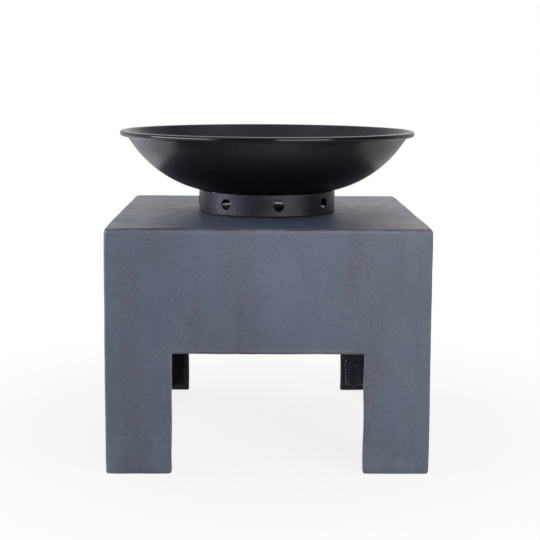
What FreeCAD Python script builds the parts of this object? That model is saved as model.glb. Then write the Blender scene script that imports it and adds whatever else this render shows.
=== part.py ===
import FreeCAD, Part
import math
import os

import Sketcher
from FreeCAD import Placement, Rotation, Vector

# Clay fire pit: a square clay console on four corner legs, lined inside with fibre mat, a steel stand ring
# on its slab, and a pressed steel fire bowl that rests in the ring.
# Millimetres, +Z up, front toward -Y, origin on the ground at the centre of the footprint.

SIZES = {
    # Clay console
    "console_width": 400,
    "console_height": 306,
    "opening_width": 237,
    "opening_height": 151,
    "wall_thickness": 10,
    "slab_thickness": 16,
    "outer_arris": 4,
    "cut_arris": 2,
    "cavity_corner": 12,
    # Fibre mats inside the console
    "mat_thickness": 2.5,
    "mat_setback": 6.5,
    "mat_foot_gap": 8,
    # Stand ring, a rolled strip with vents
    "ring_radius": 93,
    "ring_strip": 2,
    "ring_height": 29.6,
    "ring_relief": 1.6,
    "relief_width": 174,
    "vent_diameter": 14,
    "vent_count": 8,
    "vent_turn": 9,
    "vent_arris": 0.5,
    "seam_gap": 1.6,
    "seam_crown": 0.7,
    # Fire bowl, a pressed dish with its rim rolled round a wire
    "bowl_sheet": 1.5,
    "floor_radius": 58.5,
    "side_radius": 151,
    "rim_radius": 200,
    "rim_bead": 3.7,
    "rim_height": 106.8,
    "seat_clearance": 0.3,
    "wire_clearance": 0.05,
}

SHEET = "Sizes"
QUARTER_TURN = 90
HALF_TURN = 180
FULL_TURN = 360
CUT_MARGIN = 1
LEAST_CUT = 1


class Length:
    """A size that carries its value in millimetres and the sheet expression that gives it."""

    def __init__(self, value, text):
        self.value = value
        self.text = text

    def __add__(self, other):
        other = as_length(other)
        return Length(self.value + other.value, f"({self.text} + {other.text})")

    def __sub__(self, other):
        other = as_length(other)
        return Length(self.value - other.value, f"({self.text} - {other.text})")

    def __mul__(self, other):
        other = as_length(other)
        return Length(self.value * other.value, f"({self.text} * {other.text})")

    def __truediv__(self, other):
        other = as_length(other)
        return Length(self.value / other.value, f"({self.text} / {other.text})")

    def __neg__(self):
        return Length(-self.value, f"(0 - {self.text})")

    def root(self):
        return Length(math.sqrt(self.value), f"sqrt({self.text})")


def as_length(number):
    return number if isinstance(number, Length) else Length(number, str(number))


def size(alias):
    return Length(SIZES[alias], f"{SHEET}.{alias}")


# Document helpers


def size_sheet(doc):
    """The driving dimensions, one named cell each."""
    sheet = doc.addObject("Spreadsheet::Sheet", SHEET)
    for row, (alias, value) in enumerate(SIZES.items(), start=1):
        sheet.set(f"A{row}", alias)
        sheet.set(f"B{row}", str(value))
        sheet.setAlias(f"B{row}", alias)
    doc.recompute()


def new_body(doc, label):
    body = doc.addObject("PartDesign::Body", label)
    body.Label = label
    return body


def sketch_on(body, name, role):
    sketch = body.newObject("Sketcher::SketchObject", name)
    plane = next(part for part in body.Origin.OriginFeatures if part.Role == role)
    sketch.AttachmentSupport = [(plane, "")]
    sketch.MapMode = "FlatFace"
    return sketch


def hold(sketch, kind, place, length):
    """Adds a dimension at the given geometry and point numbers, bound to the sheet."""
    index = sketch.addConstraint(Sketcher.Constraint(kind, *place, length.value))
    sketch.setExpression(f"Constraints[{index}]", length.text)


def hold_point(sketch, geometry, point, x, y):
    hold(sketch, "DistanceX", (-1, 1, geometry, point), x)
    hold(sketch, "DistanceY", (-1, 1, geometry, point), y)


def outline(sketch, corners):
    """A closed outline of straight edges through corners given as pairs of lengths."""
    points = [Vector(x.value, y.value, 0) for x, y in corners]
    followers = points[1:] + points[:1]
    lines = [Part.LineSegment(start, end) for start, end in zip(points, followers)]
    edges = sketch.addGeometry(lines, False)
    for edge, follower, (x, y) in zip(edges, edges[1:] + edges[:1], corners):
        sketch.addConstraint(Sketcher.Constraint("Coincident", edge, 2, follower, 1))
        hold_point(sketch, edge, 1, x, y)


def rectangle(sketch, left, right, low, high):
    outline(sketch, [(left, low), (right, low), (right, high), (left, high)])


def circle(sketch, x, y, radius):
    shape = Part.Circle(Vector(x.value, y.value, 0), Vector(0, 0, 1), radius.value)
    index = sketch.addGeometry(shape, False)
    hold_point(sketch, index, 3, x, y)
    hold(sketch, "Radius", (index,), radius)


def pad(body, name, sketch, length):
    feature = body.newObject("PartDesign::Pad", name)
    feature.Profile = sketch
    feature.setExpression("Length", length.text)
    body.Document.recompute()
    return feature


def pocket(body, name, sketch, length, reverse=False, both_ways=False):
    """Cuts the sketch into the body, and stops if the cut takes nothing away."""
    before = body.Shape.Volume
    feature = body.newObject("PartDesign::Pocket", name)
    feature.Profile = sketch
    feature.Reversed = reverse
    feature.Midplane = both_ways
    feature.setExpression("Length", length.text)
    body.Document.recompute()
    if body.Shape.Volume > before - LEAST_CUT:
        raise RuntimeError(f"{name} cuts nothing")
    return feature


def edge_names(shape, wanted):
    """Names of the edges that the test accepts."""
    return [f"Edge{number}" for number, edge in enumerate(shape.Edges, start=1) if wanted(edge)]


def round_edges(body, name, radius, wanted):
    base = body.Tip
    feature = body.newObject("PartDesign::Fillet", name)
    feature.Base = (base, edge_names(base.Shape, wanted))
    feature.setExpression("Radius", radius.text)
    body.Document.recompute()
    return feature


def near(value, target, slack=0.01):
    return abs(value - target) < slack


def turn(body, quarters):
    """Turns a body about the vertical axis of the object."""
    body.Placement = Placement(Vector(0, 0, 0), Rotation(Vector(0, 0, 1), quarters * QUARTER_TURN))


def raise_to(part, height):
    part.setExpression("Placement.Base.z", height.text)


# Clay console


def is_upright(edge):
    box = edge.BoundBox
    return near(box.XLength, 0) and near(box.YLength, 0)


def clay_shell(doc):
    """A hollow square casting open below, with an opening through each of its four sides."""
    half = size("console_width") / 2
    inner = half - size("wall_thickness")
    height = size("console_height")
    side = size("opening_width") / 2
    lintel = size("opening_height")
    ground = as_length(0)
    body = new_body(doc, "clay_shell")

    footprint = sketch_on(body, "footprint", "XY_Plane")
    rectangle(footprint, -half, half, -half, half)
    pad(body, "block", footprint, height)

    def on_outer_arris(edge):
        return is_upright(edge) or near(edge.BoundBox.ZMin, height.value)

    round_edges(body, "outer_arrises", size("outer_arris"), on_outer_arris)

    hollow = sketch_on(body, "hollow", "XY_Plane")
    rectangle(hollow, -inner, inner, -inner, inner)
    pocket(body, "cavity", hollow, height - size("slab_thickness"), reverse=True)

    def on_inner_corner(edge):
        middle = edge.BoundBox.Center
        return is_upright(edge) and near(abs(middle.x), inner.value) and near(abs(middle.y), inner.value)

    round_edges(body, "cavity_corners", size("cavity_corner"), on_inner_corner)

    for name, role in (("front_rear", "XZ_Plane"), ("left_right", "YZ_Plane")):
        gap = sketch_on(body, f"{name}_outline", role)
        rectangle(gap, -side, side, ground, lintel)
        pocket(body, f"{name}_opening", gap, size("console_width") * 2, both_ways=True)

    def on_cut_arris(edge):
        box = edge.BoundBox
        on_face = any(
            near(span, 0) and near(abs(middle), half.value)
            for span, middle in ((box.XLength, box.Center.x), (box.YLength, box.Center.y))
        )
        return on_face and box.ZMax < lintel.value + CUT_MARGIN

    round_edges(body, "cut_arrises", size("cut_arris"), on_cut_arris)
    return body


# Fibre lining


def mat_reach():
    """Half width of the console's cavity, and the face of the mats in it."""
    inner = size("console_width") / 2 - size("wall_thickness")
    return inner, inner - size("mat_thickness")


def mat_top():
    """Height of the underside of the top mat, where the upright mats end."""
    return size("console_height") - size("slab_thickness") - size("mat_thickness")


def lining_top_mat(doc):
    inner, _ = mat_reach()
    body = new_body(doc, "lining_top_mat")
    sheet = sketch_on(body, "top_mat_outline", "XY_Plane")
    rectangle(sheet, -inner, inner, -inner, inner)
    pad(body, "top_mat", sheet, size("mat_thickness"))
    round_edges(body, "top_mat_corners", size("cavity_corner"), is_upright)
    raise_to(body, mat_top())
    return body


def lining_corner_mat(doc, place, quarters):
    """One mat folded into a corner, set back from the opening on both sides and from the foot below."""
    inner, face = mat_reach()
    border = size("opening_width") / 2 + size("mat_setback")
    foot = size("mat_foot_gap")
    body = new_body(doc, f"lining_corner_mat_{place}")
    fold = sketch_on(body, f"{place}_fold", "XY_Plane")
    inside = [(border, face), (face, face), (face, border)]
    outside = [(inner, border), (inner, inner), (border, inner)]
    outline(fold, inside + outside)
    pad(body, f"{place}_mat", fold, mat_top() - foot)

    def on_fold(reach):
        return lambda edge: is_upright(edge) and all(
            near(middle, reach.value) for middle in (edge.BoundBox.Center.x, edge.BoundBox.Center.y)
        )

    round_edges(body, f"{place}_outer_fold", size("cavity_corner"), on_fold(inner))
    round_edges(body, f"{place}_inner_fold", size("cavity_corner") - size("mat_thickness"), on_fold(face))
    turn(body, quarters)
    raise_to(body, foot)
    return body


def lining_apron_mat(doc, place, quarters):
    """One mat behind an apron, between two corner mats and set back above the opening."""
    inner, face = mat_reach()
    border = size("opening_width") / 2 + size("mat_setback")
    low = size("opening_height") + size("mat_setback")
    body = new_body(doc, f"lining_apron_mat_{place}")
    strip = sketch_on(body, f"{place}_strip", "XY_Plane")
    rectangle(strip, -border, border, face, inner)
    pad(body, f"{place}_apron_mat", strip, mat_top() - low)
    turn(body, quarters)
    raise_to(body, low)
    return body


# Stand ring


def seam_turn():
    """Angle of the seam from the rear, half way between two vents."""
    return size("vent_turn") - as_length(HALF_TURN) / size("vent_count")


def turn_sketch(sketch, axis, angle):
    """Turns an attached sketch about one of its own axes."""
    sketch.AttachmentOffset = Placement(Vector(0, 0, 0), Rotation(axis, angle.value))
    sketch.setExpression("AttachmentOffset.Rotation.Angle", angle.text)


def stand_ring(doc):
    """A rolled strip with round vents, whose lower edge is relieved at the front and the rear."""
    outer = size("ring_radius")
    inner = outer - size("ring_strip")
    height = size("ring_height")
    relief = size("ring_relief")
    centre = as_length(0)
    body = new_body(doc, "stand_ring")

    hoop = sketch_on(body, "hoop", "XY_Plane")
    circle(hoop, centre, centre, outer)
    circle(hoop, centre, centre, inner)
    pad(body, "strip", hoop, height)

    clear = sketch_on(body, "relief_outline", "XY_Plane")
    half_relief = size("relief_width") / 2
    rectangle(clear, -half_relief, half_relief, -outer, outer)
    pocket(body, "lower_edge_relief", clear, relief, reverse=True)

    slot = sketch_on(body, "seam_outline", "XY_Plane")
    half_gap = size("seam_gap") / 2
    rectangle(slot, -half_gap, half_gap, inner - CUT_MARGIN, outer + CUT_MARGIN)
    turn_sketch(slot, Vector(0, 0, 1), seam_turn())
    pocket(body, "seam_slot", slot, height, reverse=True)

    hole = sketch_on(body, "vent_outline", "XZ_Plane")
    circle(hole, centre, (height + relief) / 2, size("vent_diameter") / 2)
    turn_sketch(hole, Vector(0, 1, 0), size("vent_turn"))
    vent = pocket(body, "vent", hole, outer + CUT_MARGIN)

    pattern = body.newObject("PartDesign::PolarPattern", "vents")
    pattern.Originals = [vent]
    upright = next(part for part in body.Origin.OriginFeatures if part.Role == "Z_Axis")
    pattern.Axis = (upright, [""])
    pattern.Angle = FULL_TURN
    pattern.setExpression("Occurrences", size("vent_count").text)
    body.Tip = pattern
    doc.recompute()

    def on_vent_mouth(edge):
        box = edge.BoundBox
        reach = max(math.hypot(vertex.X, vertex.Y) for vertex in edge.Vertexes)
        return near(box.ZLength, SIZES["vent_diameter"], CUT_MARGIN) and near(reach, outer.value)

    round_edges(body, "vent_mouths", size("vent_arris"), on_vent_mouth)
    raise_to(body, size("console_height"))
    return body


def ring_seam_weld(doc):
    """The bead that closes the strip, flush outside and crowned inside."""
    outer = size("ring_radius")
    inner = outer - size("ring_strip") - size("seam_crown")
    relief = size("ring_relief")
    half_gap = size("seam_gap") / 2
    body = new_body(doc, "ring_seam_weld")
    bead = sketch_on(body, "bead_outline", "XY_Plane")
    rectangle(bead, -half_gap, half_gap, inner, outer)
    turn_sketch(bead, Vector(0, 0, 1), seam_turn())
    pad(body, "bead", bead, size("ring_height") - relief)

    def on_crown(edge):
        reach = math.hypot(edge.BoundBox.Center.x, edge.BoundBox.Center.y)
        return is_upright(edge) and reach < inner.value + SIZES["seam_crown"]

    round_edges(body, "bead_crown", size("seam_crown"), on_crown)
    raise_to(body, size("console_height") + relief)
    return body


# Fire bowl


def bowl_floor_height():
    """Underside of the bowl's floor above the slab, with its side seated on the ring's inner edge."""
    side = size("side_radius")
    reach = size("ring_radius") - size("ring_strip") - size("floor_radius")
    drop = side - (side * side - reach * reach).root()
    return size("ring_height") + size("seat_clearance") - drop


def bowl_dish(doc):
    """A flat floor, an arc up the side, a straight wall and a rim rolled outward, turned about the axis."""
    sheet = size("bowl_sheet")
    floor = size("floor_radius")
    low = bowl_floor_height()
    side = size("side_radius")
    bead = size("rim_bead")
    curl = bead - sheet
    bead_x = size("rim_radius") - bead
    bead_y = size("rim_height")
    centre_y = low + side

    # The wall is the common tangent of the side arc and the curl, so its slope follows from both.
    across = bead_x.value - floor.value
    up = bead_y.value - centre_y.value
    span = math.hypot(across, up)
    slope = math.atan2(up, across) + math.asin((side.value + curl.value) / span)
    arc_end = slope - math.pi / 2
    curl_end = slope + math.pi / 2

    def on_circle(x, y, radius, angle):
        return Vector(x + radius * math.cos(angle), y + radius * math.sin(angle), 0)

    def arc(x, y, radius, end):
        ring = Part.Circle(Vector(x, y, 0), Vector(0, 0, 1), radius)
        return Part.ArcOfCircle(ring, -math.pi / 2, end)

    def skin(side_radius, curl_radius, floor_y):
        """Floor, side, wall and curl of one face of the sheet, from the axis outward."""
        foot = on_circle(floor.value, centre_y.value, side_radius, arc_end)
        head = on_circle(bead_x.value, bead_y.value, curl_radius, curl_end)
        return [
            Part.LineSegment(Vector(0, floor_y, 0), Vector(floor.value, floor_y, 0)),
            arc(floor.value, centre_y.value, side_radius, arc_end),
            Part.LineSegment(foot, head),
            arc(bead_x.value, bead_y.value, curl_radius, curl_end),
        ]

    body = new_body(doc, "bowl_dish")
    section = sketch_on(body, "bowl_section", "XZ_Plane")
    under = section.addGeometry(skin(side.value, curl.value, low.value), False)
    over = section.addGeometry(skin(side.value - sheet.value, bead.value, low.value + sheet.value), False)
    lip = section.addGeometry(
        Part.LineSegment(
            Vector(bead_x.value, bead_y.value - curl.value, 0),
            Vector(bead_x.value, bead_y.value - bead.value, 0),
        ),
        False,
    )
    axis = section.addGeometry(
        Part.LineSegment(Vector(0, low.value + sheet.value, 0), Vector(0, low.value, 0)), False
    )

    def tie(kind, *place):
        section.addConstraint(Sketcher.Constraint(kind, *place))

    for face, side_radius, curl_radius in ((under, side, curl), (over, side - sheet, bead)):
        bottom, flank, wall, roll = face
        tie("Horizontal", bottom)
        tie("PointOnObject", bottom, 1, -2)
        tie("Tangent", bottom, 2, flank, 1)
        tie("Tangent", flank, 2, wall, 1)
        tie("Tangent", wall, 2, roll, 2)
        hold(section, "Radius", (flank,), side_radius)
        hold(section, "Radius", (roll,), curl_radius)
    tie("Coincident", under[1], 3, over[1], 3)
    tie("Coincident", under[3], 3, over[3], 3)
    tie("Coincident", under[3], 1, lip, 1)
    tie("Coincident", over[3], 1, lip, 2)
    tie("Vertical", lip)
    tie("PointOnObject", under[3], 3, lip)
    tie("Coincident", over[0], 1, axis, 1)
    tie("Coincident", under[0], 1, axis, 2)
    hold_point(section, under[1], 3, floor, centre_y)
    hold_point(section, under[3], 3, bead_x, bead_y)

    spun = body.newObject("PartDesign::Revolution", "pressing")
    spun.Profile = section
    spun.ReferenceAxis = (section, ["V_Axis"])
    spun.Angle = FULL_TURN
    doc.recompute()
    raise_to(body, size("console_height"))
    return body


def rim_wire(doc):
    """The wire inside the rolled rim."""
    wire = doc.addObject("Part::Torus", "rim_wire")
    wire.Label = "rim_wire"
    bead = size("rim_bead")
    wire.setExpression("Radius1", (size("rim_radius") - bead).text)
    wire.setExpression("Radius2", (bead - size("bowl_sheet") - size("wire_clearance")).text)
    raise_to(wire, size("console_height") + size("rim_height"))
    return wire


def check(doc, parts):
    """Stops if anything in the document failed, or a part is not one valid solid."""
    failed = [thing.Name for thing in doc.Objects if {"Invalid", "Error"} & set(thing.State)]
    if failed:
        raise RuntimeError(f"failed: {failed}")
    for part in parts:
        shape = part.Shape
        if shape.isNull() or not shape.isValid() or len(shape.Solids) != 1:
            raise RuntimeError(f"bad shape: {part.Label}")
        print(part.Label, f"{shape.Volume / 1000:.2f} cm3")


def main():
    doc = FreeCAD.newDocument("clay_fire_pit")
    size_sheet(doc)
    parts = [clay_shell(doc), lining_top_mat(doc)]
    for quarters, place in enumerate(("rear_right", "rear_left", "front_left", "front_right")):
        parts.append(lining_corner_mat(doc, place, quarters))
    for quarters, place in enumerate(("rear", "left", "front", "right")):
        parts.append(lining_apron_mat(doc, place, quarters))
    parts += [stand_ring(doc), ring_seam_weld(doc), bowl_dish(doc), rim_wire(doc)]
    doc.recompute()
    check(doc, parts)
    os.makedirs("parts", exist_ok=True)
    for part in parts:
        part.Shape.exportStep(f"parts/{part.Label}.step")


main()
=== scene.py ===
import math
from collections import namedtuple
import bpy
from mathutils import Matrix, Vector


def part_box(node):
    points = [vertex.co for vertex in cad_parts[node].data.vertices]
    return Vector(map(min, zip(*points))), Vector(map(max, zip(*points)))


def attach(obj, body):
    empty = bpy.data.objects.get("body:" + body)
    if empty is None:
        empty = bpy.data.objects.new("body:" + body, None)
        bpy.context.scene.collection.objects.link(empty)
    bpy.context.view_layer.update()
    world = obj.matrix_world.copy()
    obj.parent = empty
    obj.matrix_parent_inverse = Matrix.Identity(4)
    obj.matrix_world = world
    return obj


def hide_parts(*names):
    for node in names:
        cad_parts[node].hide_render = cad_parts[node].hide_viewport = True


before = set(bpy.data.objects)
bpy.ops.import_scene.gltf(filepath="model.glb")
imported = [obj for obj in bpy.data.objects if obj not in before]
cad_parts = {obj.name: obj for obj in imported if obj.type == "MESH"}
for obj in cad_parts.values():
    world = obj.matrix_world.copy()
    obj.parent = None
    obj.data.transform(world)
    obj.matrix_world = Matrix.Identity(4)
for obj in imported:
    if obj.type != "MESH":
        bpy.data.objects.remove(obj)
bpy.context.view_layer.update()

from types import SimpleNamespace

import bpy
import numpy as np
from mathutils import Matrix, Vector


# Sizes in metres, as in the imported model

# Console: half its width, its height, slab, half the hollow's width, half an opening's width and its height
HALF = 0.2
HEIGHT = 0.306
SLAB = 0.016
UNDER_SLAB = HEIGHT - SLAB
INNER = 0.19
GAP = 0.1185
LINTEL = 0.151

# Roundings of its outer edges and of its openings, a mat's thickness, and the inside radius of a mat's fold
OUTER_ARRIS = 0.004
CUT_ARRIS = 0.002
MAT = 0.0025
FOLD = 0.0095

# Bowl: its sheet, its flat floor's radius, its side's radius, its underside, and its rolled bead
SHEET = 0.0015
BOWL_FLOOR_RADIUS = 0.0585
BOWL_SIDE_RADIUS = 0.151
BOWL_LOW = HEIGHT + 0.02636
BEAD = 0.0037
BEAD_AT = (0.1963, HEIGHT + 0.10679)

# Wear and unevenness of the clay, in metres: slow waves have a length, a size and the first of three seeds

FOOT_ARRIS = 0.0028
ARRIS_WAVE, ARRIS_WAVE_SHARE, ARRIS_SEED = 0.06, 0.06, 11
CORNER_REACH, CORNER_RISE = 0.012, 0.45
ARRIS_REACH = 0.012
CUT_REACH = 0.02
WEAR_STOPS = 0.004
CHIP_REACH = (0.004, 0.008)
CHIP_DEPTH = (0.0002, 0.0004)
CHIP_SEED = 41
SWELL = (0.12, 0.00014, 1)
RIPPLE = (0.035, 0.00004, 4)
CROOKED = (0.07, 0.00032, 7)

# Lattice lines of the clay skin, in metres, and numbers of points along the other pieces

LATTICE_STEP = 0.0055
BESIDE_OUTER = (0.0053, 0.0066)
BESIDE_CUT = np.array((0.002, 0.005))
BESIDE_FOOT = 0.004
ARRIS_LINES = 5
MAT_ROW, FEWEST_ROWS = 0.004, 8
WALL_POINTS, FOLD_POINTS, APRON_POINTS, TOP_POINTS = 16, 8, 62, 80
FLOOR_POINTS, SIDE_POINTS, CURL_POINTS, BEAD_POINTS, BOWL_STEPS = 8, 40, 16, 28, 240

# Felt of the mats, in metres: tears are those of the two side borders, the low border and the high one

CORNER_TEARS = (0.0014, 0.0014, 0.0022, 0.0)
APRON_TEARS = (0.0004, 0.0004, 0.0022, 0.0)
SIDE_WAVES, BORDER_WAVE = (0.02, 0.024), 0.022
LUMP, LUMP_WAVES, TOP_LUMP_WAVES = 0.0011, (0.016, 0.006), (0.018, 0.007)
CORNER_MAT_SEED, APRON_MAT_SEED, SEED_STEP, TOP_MAT_SEED = 100, 200, 10, 301
FRAY, FOOT_FRAY = 0.006, 1.7
MAT_BODY = 0.0014
TOP_MAT_BODY = 0.0013
TOP_MAT_ROOM = 0.0005
MATS_AT_CORNERS = ("rear_right", "rear_left", "front_left", "front_right")
MATS_AT_APRONS = ("rear", "left", "front", "right")

# Bowl masks, in metres: where a painted reflection turns the outside a lighter grey going up, and where the
# rim's ends turn dull

REFLECTION_FROM, REFLECTION_OVER = 0.03, 0.05
ENDS_FROM, ENDS_OVER = 0.16, 0.03

# Axes, what rounding may leave, a guard against a divisor of zero, and a distance that counts as far

X, Y, Z = range(3)
SLACK, TINY, FAR = 1e-6, 1e-9, 1.0


# Mesh helpers


def waves(points, wavelength, seed, count=28):
    """Smooth noise of about unit size: a sum of plane cosine waves of one wavelength in seeded directions."""
    rng = np.random.default_rng(seed)
    heading = rng.normal(size=(count, points.shape[1]))
    heading *= 2 * math.pi / wavelength / np.linalg.norm(heading, axis=1, keepdims=True)
    heading *= rng.uniform(0.6, 1.4, (count, 1))
    phase = rng.uniform(0, 2 * math.pi, count)
    return np.cos(points @ heading.T + phase).sum(axis=1) * math.sqrt(2 / count)


def wander(points, wavelength, size, first_seed):
    """A slow move of each point in x, y and z: three independent waves of one length, times a size."""
    return np.stack([waves(points, wavelength, first_seed + axis) for axis in (X, Y, Z)], axis=1) * size


def quarter_turn(quarters):
    """Matrix of a turn about the upright axis by a number of right angles."""
    cosine, sine = ((1, 0), (0, 1), (-1, 0), (0, -1))[quarters % 4]
    return np.array(((cosine, -sine, 0), (sine, cosine, 0), (0, 0, 1)), float)


def make_piece(name, points, faces, body, material, nodes, masks=None):
    """A smooth mesh piece that rides on a body and stands for CAD nodes, with masks as point attributes."""
    mesh = bpy.data.meshes.new(name)
    mesh.from_pydata(points.tolist(), [], faces)
    mesh.shade_smooth()
    mesh.materials.append(material)
    for mask, values in (masks or {}).items():
        attribute = mesh.attributes.new(mask, "FLOAT", "POINT")
        attribute.data.foreach_set("value", values.astype(np.float32))
    piece = bpy.data.objects.new(name, mesh)
    bpy.context.scene.collection.objects.link(piece)
    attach(piece, body)
    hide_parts(*nodes)
    return piece


def grid_faces(rows, columns):
    """Quads of a grid of points stored row by row."""
    index = np.arange(rows * columns).reshape(rows, columns)
    corners = [index[:-1, :-1], index[1:, :-1], index[1:, 1:], index[:-1, 1:]]
    return np.stack(corners, axis=-1).reshape(-1, 4)


# Clay console

Edge = namedtuple("Edge", "face_a face_b axis low high radius")


def graded_lines(marks, step):
    """Sorted marks, with every gap between two of them filled by even steps no longer than `step`."""
    marks = np.unique(np.round(marks, 6))
    counts = np.maximum(1, np.ceil(np.diff(marks) / step - SLACK)).astype(int)
    spans = [np.linspace(a, b, n, endpoint=False) for a, b, n in zip(marks[:-1], marks[1:], counts)]
    return np.append(np.concatenate(spans), marks[-1])


def arris_marks(radius):
    """Distances from a sharp edge that land at equal angles once it is rounded.

    Each is the radius times one less the tangent of an angle from 0 to 45 degrees.
    """
    return radius * (1 - np.tan(np.linspace(0, math.pi / 4, ARRIS_LINES)))


def lattice_skin(lines, filled):
    """Skin of the filled cells of a lattice: on each flat face a grid of two of its three line sets.

    One quad stands between each filled cell and an empty neighbour, facing the empty one, and all faces share
    the lattice's points.
    """
    index = np.arange(math.prod(map(len, lines))).reshape([len(line) for line in lines])
    solid = np.pad(filled, 1).astype(int)
    quads = []
    for axis in (X, Y, Z):
        trim = [slice(1, -1)] * 3
        trim[axis] = slice(None)
        change = np.diff(solid, axis=axis)[tuple(trim)]
        first, second = (other for other in (X, Y, Z) if other != axis)
        for sign in (1, -1):
            corner = np.argwhere(change == sign)
            ring = []
            for along_first, along_second in ((0, 0), (1, 0), (1, 1), (0, 1)):
                place = corner.copy()
                place[:, first] += along_first
                place[:, second] += along_second
                ring.append(index[tuple(place.T)])
            quad = np.stack(ring, axis=1)
            outward = (sign == -1) != (axis == Y)
            quads.append(quad if outward else quad[:, ::-1])
    used, faces = np.unique(np.concatenate(quads), return_inverse=True)
    spread = np.meshgrid(*lines, indexing="ij")
    points = np.stack([coordinate.ravel() for coordinate in spread], axis=1)[used]
    return points, faces.reshape(-1, 4)


def console_lattice():
    """Sharp form of the console: the skin of a lattice whose lines crowd together at the arrises.

    A cell is clay unless it is in the hollow under the slab or in one of the four openings.
    """
    outer, cut, foot = (arris_marks(radius) for radius in (OUTER_ARRIS, CUT_ARRIS, FOOT_ARRIS))
    outer = np.append(outer, BESIDE_OUTER)
    across = np.concatenate([
        HALF - outer, HALF - cut, INNER + cut, GAP + cut, GAP - BESIDE_CUT, (GAP + FOOT_ARRIS, 0),
    ])
    upright = np.concatenate([
        foot, (BESIDE_FOOT,), LINTEL + cut, LINTEL - BESIDE_CUT, (UNDER_SLAB,), HEIGHT - outer,
    ])
    flat_lines = graded_lines(np.concatenate([across, -across]), LATTICE_STEP)
    lines = (flat_lines, flat_lines, graded_lines(upright, LATTICE_STEP))
    x, y, z = np.meshgrid(*[(line[1:] + line[:-1]) / 2 for line in lines], indexing="ij")
    hollow = (np.abs(x) < INNER) & (np.abs(y) < INNER) & (z < UNDER_SLAB)
    openings = ((np.abs(x) < GAP) | (np.abs(y) < GAP)) & (z < LINTEL)
    return lattice_skin(lines, ~(hollow | openings))


def edge_distance(points, edge):
    """Distance of the points on an edge's two faces from that edge, and which of those faces each is on.

    It is the root of the summed squares of the distances across the face and past the edge's end. Points on
    neither face are far away.
    """
    (normal_a, reach_a), (normal_b, reach_b) = edge.face_a, edge.face_b
    depth_a = points @ np.array(normal_a, float) - reach_a
    depth_b = points @ np.array(normal_b, float) - reach_b
    on_a = np.abs(depth_a) < SLACK
    on_b = np.abs(depth_b) < SLACK
    along = points[:, edge.axis]
    past_end = np.maximum(edge.low - along, 0) + np.maximum(along - edge.high, 0)
    across = np.where(on_a, depth_b, depth_a)
    away = np.hypot(across, past_end)
    off = ~(on_a | on_b) | (depth_a < -SLACK) | (depth_b < -SLACK)
    return np.where(off, FAR, away), on_a, on_b, np.maximum(across, 0)


def nearness(points, edges, reach):
    """1 on any of the edges, falling evenly to 0 at a reach from the nearest one."""
    nearest = np.min([edge_distance(points, edge)[0] for edge in edges], axis=0)
    return np.clip(1 - nearest / reach, 0, 1)


def rounding(points, edge, fullness):
    """Moves of the points beside a sharp edge that make it a quarter round.

    A point at distance d on either face goes to angle t, where tan t is 1 - d / r. It sinks by r (1 - cos t)
    and its distance becomes r (1 - sin t), so equal angles give an even arc.
    """
    away, on_a, on_b, across = edge_distance(points, edge)
    radius = edge.radius * fullness
    angle = np.arctan(np.clip(1 - away / radius, 0, 1))
    sink = radius * (1 - np.cos(angle))
    slide = np.where(angle > 0, radius * (np.tan(angle) - np.sin(angle)), 0) * across / np.maximum(away, TINY)
    both = on_a & on_b
    toward_a = np.where(on_a, sink, slide)
    toward_b = np.where(both | ~on_a, sink, slide)
    normal_a, normal_b = np.array(edge.face_a[0], float), np.array(edge.face_b[0], float)
    return toward_a[:, None] * normal_a + toward_b[:, None] * normal_b


def console_edges():
    """Edges of the console's front, outside and inside. The other sides are quarter turns of it.

    An edge has two faces, each as an inward normal and a reach, the axis it runs along, its ends and its
    radius.
    """
    front = ((0, 1, 0), -HALF)
    back_of_front = ((0, -1, 0), INNER)
    top = ((0, 0, -1), -HEIGHT)
    right = ((-1, 0, 0), -HALF)
    foot = ((0, 0, 1), 0.0)
    apron = ((0, 0, 1), LINTEL)
    left_cut = ((-1, 0, 0), GAP)
    right_cut = ((1, 0, 0), GAP)
    outside = [Edge(front, top, X, -HALF, HALF, OUTER_ARRIS), Edge(front, right, Z, 0, HEIGHT, OUTER_ARRIS)]
    inside = []
    for group, face, reach in ((outside, front, HALF), (inside, back_of_front, INNER)):
        group += [
            Edge(face, left_cut, Z, 0, LINTEL, CUT_ARRIS),
            Edge(face, right_cut, Z, 0, LINTEL, CUT_ARRIS),
            Edge(face, apron, X, -GAP, GAP, CUT_ARRIS),
            Edge(face, foot, X, -reach, -GAP, FOOT_ARRIS),
            Edge(face, foot, X, GAP, reach, FOOT_ARRIS),
        ]
    inside += [Edge(cut, foot, Y, -HALF, -INNER, FOOT_ARRIS) for cut in (left_cut, right_cut)]
    return outside, inside


def chips(points, edges, rng):
    """Small chips out of the arrises, one on each: how deep each point lies in one, and its move inward.

    A chip's depth falls off as (1 - (d / r)^2) squared with the distance d from its centre on the edge.
    """
    share = np.zeros(len(points))
    moves = np.zeros_like(points)
    for edge in edges:
        (normal_a, reach_a), (normal_b, reach_b) = edge.face_a, edge.face_b
        inward = np.array(normal_a, float) + np.array(normal_b, float)
        centre = np.array(normal_a, float) * reach_a + np.array(normal_b, float) * reach_b
        centre[edge.axis] = rng.uniform(edge.low, edge.high)
        reach = rng.uniform(*CHIP_REACH)
        near = np.clip(1 - ((points - centre) ** 2).sum(axis=1) / reach**2, 0, 1) ** 2
        share = np.maximum(share, near)
        moves += (rng.uniform(*CHIP_DEPTH) * near)[:, None] * inward
    return share, moves


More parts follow.
